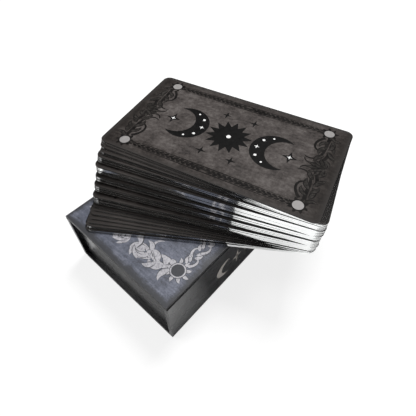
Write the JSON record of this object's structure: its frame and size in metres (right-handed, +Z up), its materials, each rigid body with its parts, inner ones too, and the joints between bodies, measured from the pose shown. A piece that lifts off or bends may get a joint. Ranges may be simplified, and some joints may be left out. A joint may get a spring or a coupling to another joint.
{
  "type": "tarot card deck",
  "caption": "Tarot cards fanned on their closed book-style box, which has a hinged lid, a magnetic flap and an inner tray; the packets of cards turn about a pinched corner.",
  "frame": {"origin": "middle of the box on its underside, where it stands on the table", "axes": "+Z up, +X along the spine, +Y across the box from the spine to the flap"},
  "size_m": [0.1329, 0.138, 0.071],
  "materials": {
    "greyboard": "uncoated grey board",
    "black_wrap": "black paper with a satin film",
    "printed_wrap": "blue-grey mottled print with a satin film",
    "liner_paper": "matt black paper",
    "magnet": "bright nickel plating",
    "card_stock": "dark taupe print with a satin film and silver gilt edges"
  },
  "bodies": {
    "box": {"base_board": "greyboard", "base_wrap": "black_wrap", "spine_board": "greyboard", "spine_wrap": "black_wrap", "tray_board": "greyboard", "tray_wrap": "black_wrap", "tray_liner": "liner_paper", "tray_magnets": "magnet"},
    "lid": {"lid_board": "greyboard", "lid_wrap": "printed_wrap", "lid_liner": "liner_paper"},
    "flap": {"flap_board": "greyboard", "flap_wrap": "black_wrap", "flap_liner": "liner_paper", "flap_magnets": "magnet"},
    "deck": {"card_packet_01": "card_stock"},
    "packet_02": {"card_packet_02": "card_stock"},
    "packet_03": {"card_packet_03": "card_stock"},
    "packet_04": {"card_packet_04": "card_stock"},
    "packet_05": {"card_packet_05": "card_stock"},
    "packet_06": {"card_packet_06": "card_stock"},
    "packet_07": {"card_packet_07": "card_stock"},
    "packet_08": {"card_packet_08": "card_stock"},
    "packet_09": {"card_packet_09": "card_stock"},
    "packet_10": {"card_packet_10": "card_stock"},
    "packet_11": {"card_packet_11": "card_stock"},
    "packet_12": {"card_packet_12": "card_stock"},
    "packet_13": {"card_packet_13": "card_stock"},
    "packet_14": {"card_packet_14": "card_stock"},
    "packet_15": {"card_packet_15": "card_stock"},
    "packet_16": {"card_packet_16": "card_stock"},
    "packet_17": {"card_packet_17": "card_stock"},
    "packet_18": {"card_packet_18": "card_stock"},
    "packet_19": {"card_packet_19": "card_stock"},
    "packet_20": {"card_packet_20": "card_stock"},
    "packet_21": {"card_packet_21": "card_stock"},
    "packet_22": {"card_packet_22": "card_stock"},
    "packet_23": {"card_packet_23": "card_stock"},
    "packet_24": {"card_packet_24": "card_stock"},
    "packet_25": {"card_packet_25": "card_stock"},
    "packet_26": {"card_packet_26": "card_stock"},
    "packet_27": {"card_packet_27": "card_stock"},
    "packet_28": {"card_packet_28": "card_stock"},
    "packet_29": {"card_packet_29": "card_stock"},
    "packet_30": {"card_packet_30": "card_stock"},
    "packet_31": {"card_packet_31": "card_stock"},
    "top_card": {"top_card": "card_stock"}
  },
  "joints": [
    {"name": "deck_lift", "type": "slide", "parent": "box", "child": "deck", "axis": [0, 0, 1], "range_m": [0, 0.23]},
    {"name": "lid_hinge", "type": "hinge", "parent": "box", "child": "lid", "pos_m": [0, -0.0395, 0.0386], "axis": [1, 0, 0], "range_deg": [0, 105]},
    {"name": "flap_hinge", "type": "hinge", "parent": "lid", "child": "flap", "pos_m": [0, 0.0395, 0.0386], "axis": [1, 0, 0], "range_deg": [0, 90]},
    {"name": "fan_spread", "type": "hinge", "parent": "deck", "child": "packet_31", "pos_m": [0.0059, -0.0694, 0.041], "axis": [0, 0, -1], "range_deg": [-19.9, 50]},
    {"name": "fan_02", "type": "hinge", "parent": "deck", "child": "packet_02", "pos_m": [0.0059, -0.0694, 0.041], "axis": [0, 0, -1], "range_deg": [-0.65, 1.55]},
    {"name": "fan_03", "type": "hinge", "parent": "deck", "child": "packet_03", "pos_m": [0.0059, -0.0694, 0.041], "axis": [0, 0, -1], "range_deg": [-2.54, 6.3]},
    {"name": "fan_04", "type": "hinge", "parent": "deck", "child": "packet_04", "pos_m": [0.0059, -0.0694, 0.041], "axis": [0, 0, -1], "range_deg": [-3.83, 9.55]},
    {"name": "fan_05", "type": "hinge", "parent": "deck", "child": "packet_05", "pos_m": [0.0059, -0.0694, 0.041], "axis": [0, 0, -1], "range_deg": [-5.12, 12.8]},
    {"name": "fan_06", "type": "hinge", "parent": "deck", "child": "packet_06", "pos_m": [0.0059, -0.0694, 0.041], "axis": [0, 0, -1], "range_deg": [-6.24, 15.6]},
    {"name": "fan_07", "type": "hinge", "parent": "deck", "child": "packet_07", "pos_m": [0.0059, -0.0694, 0.041], "axis": [0, 0, -1], "range_deg": [-7.27, 18.2]},
    {"name": "fan_08", "type": "hinge", "parent": "deck", "child": "packet_08", "pos_m": [0.0059, -0.0694, 0.041], "axis": [0, 0, -1], "range_deg": [-9.5, 23.8]},
    {"name": "fan_09", "type": "hinge", "parent": "deck", "child": "packet_09", "pos_m": [0.0059, -0.0694, 0.041], "axis": [0, 0, -1], "range_deg": [-7.87, 19.7]},
    {"name": "fan_10", "type": "hinge", "parent": "deck", "child": "packet_10", "pos_m": [0.0059, -0.0694, 0.041], "axis": [0, 0, -1], "range_deg": [-8.23, 20.6]},
    {"name": "fan_11", "type": "hinge", "parent": "deck", "child": "packet_11", "pos_m": [0.0059, -0.0694, 0.041], "axis": [0, 0, -1], "range_deg": [-8.9, 22.3]},
    {"name": "fan_12", "type": "hinge", "parent": "deck", "child": "packet_12", "pos_m": [0.0059, -0.0694, 0.041], "axis": [0, 0, -1], "range_deg": [-11.57, 29]},
    {"name": "fan_13", "type": "hinge", "parent": "deck", "child": "packet_13", "pos_m": [0.0059, -0.0694, 0.041], "axis": [0, 0, -1], "range_deg": [-9.86, 24.7]},
    {"name": "fan_14", "type": "hinge", "parent": "deck", "child": "packet_14", "pos_m": [0.0059, -0.0694, 0.041], "axis": [0, 0, -1], "range_deg": [-10.46, 26.2]},
    {"name": "fan_15", "type": "hinge", "parent": "deck", "child": "packet_15", "pos_m": [0.0059, -0.0694, 0.041], "axis": [0, 0, -1], "range_deg": [-11.05, 27.7]},
    {"name": "fan_16", "type": "hinge", "parent": "deck", "child": "packet_16", "pos_m": [0.0059, -0.0694, 0.041], "axis": [0, 0, -1], "range_deg": [-13.54, 33.95]},
    {"name": "fan_17", "type": "hinge", "parent": "deck", "child": "packet_17", "pos_m": [0.0059, -0.0694, 0.041], "axis": [0, 0, -1], "range_deg": [-11.83, 29.65]},
    {"name": "fan_18", "type": "hinge", "parent": "deck", "child": "packet_18", "pos_m": [0.0059, -0.0694, 0.041], "axis": [0, 0, -1], "range_deg": [-12.53, 31.4]},
    {"name": "fan_19", "type": "hinge", "parent": "deck", "child": "packet_19", "pos_m": [0.0059, -0.0694, 0.041], "axis": [0, 0, -1], "range_deg": [-14.94, 37.45]},
    {"name": "fan_20", "type": "hinge", "parent": "deck", "child": "packet_20", "pos_m": [0.0059, -0.0694, 0.041], "axis": [0, 0, -1], "range_deg": [-13.2, 33.1]},
    {"name": "fan_21", "type": "hinge", "parent": "deck", "child": "packet_21", "pos_m": [0.0059, -0.0694, 0.041], "axis": [0, 0, -1], "range_deg": [-13.72, 34.4]},
    {"name": "fan_22", "type": "hinge", "parent": "deck", "child": "packet_22", "pos_m": [0.0059, -0.0694, 0.041], "axis": [0, 0, -1], "range_deg": [-15.53, 38.95]},
    {"name": "fan_23", "type": "hinge", "parent": "deck", "child": "packet_23", "pos_m": [0.0059, -0.0694, 0.041], "axis": [0, 0, -1], "range_deg": [-14.58, 36.55]},
    {"name": "fan_24", "type": "hinge", "parent": "deck", "child": "packet_24", "pos_m": [0.0059, -0.0694, 0.041], "axis": [0, 0, -1], "range_deg": [-15.35, 38.5]},
    {"name": "fan_25", "type": "hinge", "parent": "deck", "child": "packet_25", "pos_m": [0.0059, -0.0694, 0.041], "axis": [0, 0, -1], "range_deg": [-16.05, 40.25]},
    {"name": "fan_26", "type": "hinge", "parent": "deck", "child": "packet_26", "pos_m": [0.0059, -0.0694, 0.041], "axis": [0, 0, -1], "range_deg": [-17.24, 43.25]},
    {"name": "fan_27", "type": "hinge", "parent": "deck", "child": "packet_27", "pos_m": [0.0059, -0.0694, 0.041], "axis": [0, 0, -1], "range_deg": [-16.47, 41.3]},
    {"name": "fan_28", "type": "hinge", "parent": "deck", "child": "packet_28", "pos_m": [0.0059, -0.0694, 0.041], "axis": [0, 0, -1], "range_deg": [-17.24, 43.25]},
    {"name": "fan_29", "type": "hinge", "parent": "deck", "child": "packet_29", "pos_m": [0.0059, -0.0694, 0.041], "axis": [0, 0, -1], "range_deg": [-18.16, 45.55]},
    {"name": "fan_30", "type": "hinge", "parent": "deck", "child": "packet_30", "pos_m": [0.0059, -0.0694, 0.041], "axis": [0, 0, -1], "range_deg": [-19.05, 47.8]},
    {"name": "top_card_draw", "type": "slide", "parent": "packet_31", "child": "top_card", "axis": [-0.247, 0.969, 0], "range_m": [0, 0.07]}
  ],
  "couplings": [
    {"joint": "lid_hinge", "follows": "deck_lift", "rad_per_m": 7.965},
    {"joint": "fan_02", "follows": "fan_spread", "ratio": 0.03},
    {"joint": "fan_03", "follows": "fan_spread", "ratio": 0.125},
    {"joint": "fan_04", "follows": "fan_spread", "ratio": 0.19},
    {"joint": "fan_05", "follows": "fan_spread", "ratio": 0.255},
    {"joint": "fan_06", "follows": "fan_spread", "ratio": 0.311},
    {"joint": "fan_07", "follows": "fan_spread", "ratio": 0.363},
    {"joint": "fan_08", "follows": "fan_spread", "ratio": 0.475},
    {"joint": "fan_09", "follows": "fan_spread", "ratio": 0.393},
    {"joint": "fan_10", "follows": "fan_spread", "ratio": 0.411},
    {"joint": "fan_11", "follows": "fan_spread", "ratio": 0.445},
    {"joint": "fan_12", "follows": "fan_spread", "ratio": 0.579},
    {"joint": "fan_13", "follows": "fan_spread", "ratio": 0.493},
    {"joint": "fan_14", "follows": "fan_spread", "ratio": 0.523},
    {"joint": "fan_15", "follows": "fan_spread", "ratio": 0.553},
    {"joint": "fan_16", "follows": "fan_spread", "ratio": 0.678},
    {"joint": "fan_17", "follows": "fan_spread", "ratio": 0.592},
    {"joint": "fan_18", "follows": "fan_spread", "ratio": 0.627},
    {"joint": "fan_19", "follows": "fan_spread", "ratio": 0.748},
    {"joint": "fan_20", "follows": "fan_spread", "ratio": 0.661},
    {"joint": "fan_21", "follows": "fan_spread", "ratio": 0.687},
    {"joint": "fan_22", "follows": "fan_spread", "ratio": 0.778},
    {"joint": "fan_23", "follows": "fan_spread", "ratio": 0.73},
    {"joint": "fan_24", "follows": "fan_spread", "ratio": 0.769},
    {"joint": "fan_25", "follows": "fan_spread", "ratio": 0.804},
    {"joint": "fan_26", "follows": "fan_spread", "ratio": 0.864},
    {"joint": "fan_27", "follows": "fan_spread", "ratio": 0.825},
    {"joint": "fan_28", "follows": "fan_spread", "ratio": 0.864},
    {"joint": "fan_29", "follows": "fan_spread", "ratio": 0.91},
    {"joint": "fan_30", "follows": "fan_spread", "ratio": 0.955}
  ]
}
